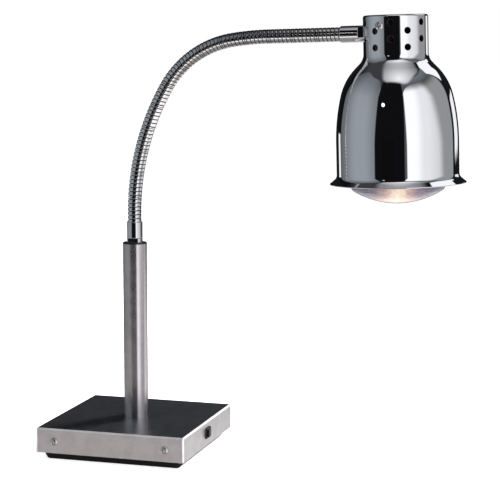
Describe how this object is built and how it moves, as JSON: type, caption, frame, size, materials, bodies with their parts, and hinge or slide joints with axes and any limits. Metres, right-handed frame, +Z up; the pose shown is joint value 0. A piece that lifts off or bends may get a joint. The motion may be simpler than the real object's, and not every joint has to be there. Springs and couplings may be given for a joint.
{
  "type": "food heat lamp",
  "caption": "Free-standing food heat lamp with a square weighted base, upright post, flexible wound neck and a polished reflector shade over a reflector bulb.",
  "frame": {"origin": "centre of the base, in the plane of its underside", "axes": "+Z up; -Y is the front of the base; the neck bends in the plane Y = 0 and reaches towards +X; the switch is on the +X side"},
  "size_m": [0.5715, 0.2382, 0.6087],
  "materials": {
    "stainless": "brushed stainless sheet and tube",
    "black_tray": "moulded black, fine grain",
    "pad_rubber": "matt",
    "ballast_iron": "painted plate",
    "bright_screws": "bright plated",
    "zinc_steel": "zinc plated",
    "brass": "plain",
    "chrome_ferrule": "bright plated",
    "chrome_neck": "bright plated, wound",
    "polished_shade": "spun and mirror polished",
    "porcelain": "glazed white porcelain",
    "bulb_glass": "clear",
    "bulb_mirror": "vapour coated inside",
    "bulb_metal": "plain",
    "black_insulator": "fired glass insulator",
    "switch_black": "moulded black",
    "block_plastic": "moulded",
    "gland_plastic": "moulded black",
    "lead_sheath": "heat-proof sheath"
  },
  "bodies": {
    "base": {"base_cover": "stainless", "base_tray": "black_tray", "foot_pads": "pad_rubber", "ballast_plate": "ballast_iron", "cover_screws": "bright_screws", "tray_screws": "bright_screws", "post_tube": "stainless", "foot_plug": "zinc_steel", "post_spacer": "zinc_steel", "post_washer": "zinc_steel", "post_nut": "zinc_steel", "post_bush": "black_tray", "lower_ferrule": "chrome_ferrule", "lower_washer": "zinc_steel", "lower_locknut": "brass", "neck_01": "chrome_neck", "switch_housing": "switch_black", "switch_terminals": "brass", "terminal_block": "block_plastic", "earth_stud": "brass", "cable_gland": "gland_plastic", "gland_nut": "gland_plastic", "base_leads": "lead_sheath", "inner_lead": "lead_sheath"},
    "rocker": {"switch_rocker": "switch_black"},
    "neck_length_02": {"neck_02": "chrome_neck"},
    "neck_length_03": {"neck_03": "chrome_neck"},
    "neck_length_04": {"neck_04": "chrome_neck"},
    "neck_length_05": {"neck_05": "chrome_neck"},
    "neck_length_06": {"neck_06": "chrome_neck"},
    "neck_length_07": {"neck_07": "chrome_neck"},
    "neck_length_08": {"neck_08": "chrome_neck"},
    "neck_length_09": {"neck_09": "chrome_neck"},
    "neck_length_10": {"neck_10": "chrome_neck"},
    "neck_length_11": {"neck_11": "chrome_neck"},
    "neck_length_12": {"neck_12": "chrome_neck"},
    "neck_length_13": {"neck_13": "chrome_neck"},
    "head": {"neck_14": "chrome_neck", "upper_ferrule": "chrome_ferrule", "saddle_washer": "zinc_steel", "upper_locknut": "brass", "shade": "polished_shade", "collar_screws": "bright_screws", "holder_bracket": "zinc_steel", "holder_screws": "bright_screws", "holder_body": "porcelain", "holder_shell": "brass", "holder_contact": "brass", "bulb_glass": "bulb_glass", "bulb_mirror": "bulb_mirror", "bulb_cap": "bulb_metal", "bulb_insulator": "black_insulator", "bulb_contact": "brass", "bulb_stem": "bulb_glass", "filament": "bulb_metal", "head_leads": "lead_sheath"}
  },
  "joints": [
    {"name": "neck_bend_01", "type": "hinge", "parent": "base", "child": "neck_length_02", "pos_m": [0.00069, 0, 0.35579], "axis": [0, 1, 0], "range_deg": [-6, 6], "deforming": ["inner_lead"]},
    {"name": "neck_sway_02", "type": "hinge", "parent": "neck_length_02", "child": "neck_length_03", "pos_m": [0.00439, 0, 0.38887], "axis": [0.9873, 0, -0.159], "range_deg": [-5, 5]},
    {"name": "neck_bend_03", "type": "hinge", "parent": "neck_length_03", "child": "neck_length_04", "pos_m": [0.01126, 0, 0.42144], "axis": [0, 1, 0], "range_deg": [-6, 6]},
    {"name": "neck_sway_04", "type": "hinge", "parent": "neck_length_04", "child": "neck_length_05", "pos_m": [0.02124, 0, 0.45319], "axis": [0.9384, 0, -0.3455], "range_deg": [-5, 5]},
    {"name": "neck_bend_05", "type": "hinge", "parent": "neck_length_05", "child": "neck_length_06", "pos_m": [0.03424, 0, 0.48384], "axis": [0, 1, 0], "range_deg": [-6, 6]},
    {"name": "neck_sway_06", "type": "hinge", "parent": "neck_length_06", "child": "neck_length_07", "pos_m": [0.05014, 0, 0.51308], "axis": [0.8466, 0, -0.5323], "range_deg": [-5, 5]},
    {"name": "neck_bend_07", "type": "hinge", "parent": "neck_length_07", "child": "neck_length_08", "pos_m": [0.07115, 0, 0.53882], "axis": [0, 1, 0], "range_deg": [-6, 6]},
    {"name": "neck_sway_08", "type": "hinge", "parent": "neck_length_08", "child": "neck_length_09", "pos_m": [0.0978, 0, 0.55864], "axis": [0.4935, 0, -0.8697], "range_deg": [-5, 5]},
    {"name": "neck_bend_09", "type": "hinge", "parent": "neck_length_09", "child": "neck_length_10", "pos_m": [0.12849, 0, 0.57135], "axis": [0, 1, 0], "range_deg": [-6, 6]},
    {"name": "neck_sway_10", "type": "hinge", "parent": "neck_length_10", "child": "neck_length_11", "pos_m": [0.16128, 0, 0.57697], "axis": [0.1104, 0, -0.9939], "range_deg": [-5, 5]},
    {"name": "neck_bend_11", "type": "hinge", "parent": "neck_length_11", "child": "neck_length_12", "pos_m": [0.19449, 0, 0.57926], "axis": [0, 1, 0], "range_deg": [-6, 6]},
    {"name": "neck_sway_12", "type": "hinge", "parent": "neck_length_12", "child": "neck_length_13", "pos_m": [0.22778, 0, 0.58019], "axis": [0.0279, 0, -0.9996], "range_deg": [-5, 5]},
    {"name": "neck_bend_13", "type": "hinge", "parent": "neck_length_13", "child": "head", "pos_m": [0.26106, 0, 0.58112], "axis": [0, 1, 0], "range_deg": [-6, 6]},
    {"name": "switch_rock", "type": "hinge", "parent": "base", "child": "rocker", "pos_m": [0.1061, -0.0035, 0.029], "axis": [0, 0, 1], "range_deg": [-18, 0]}
  ]
}
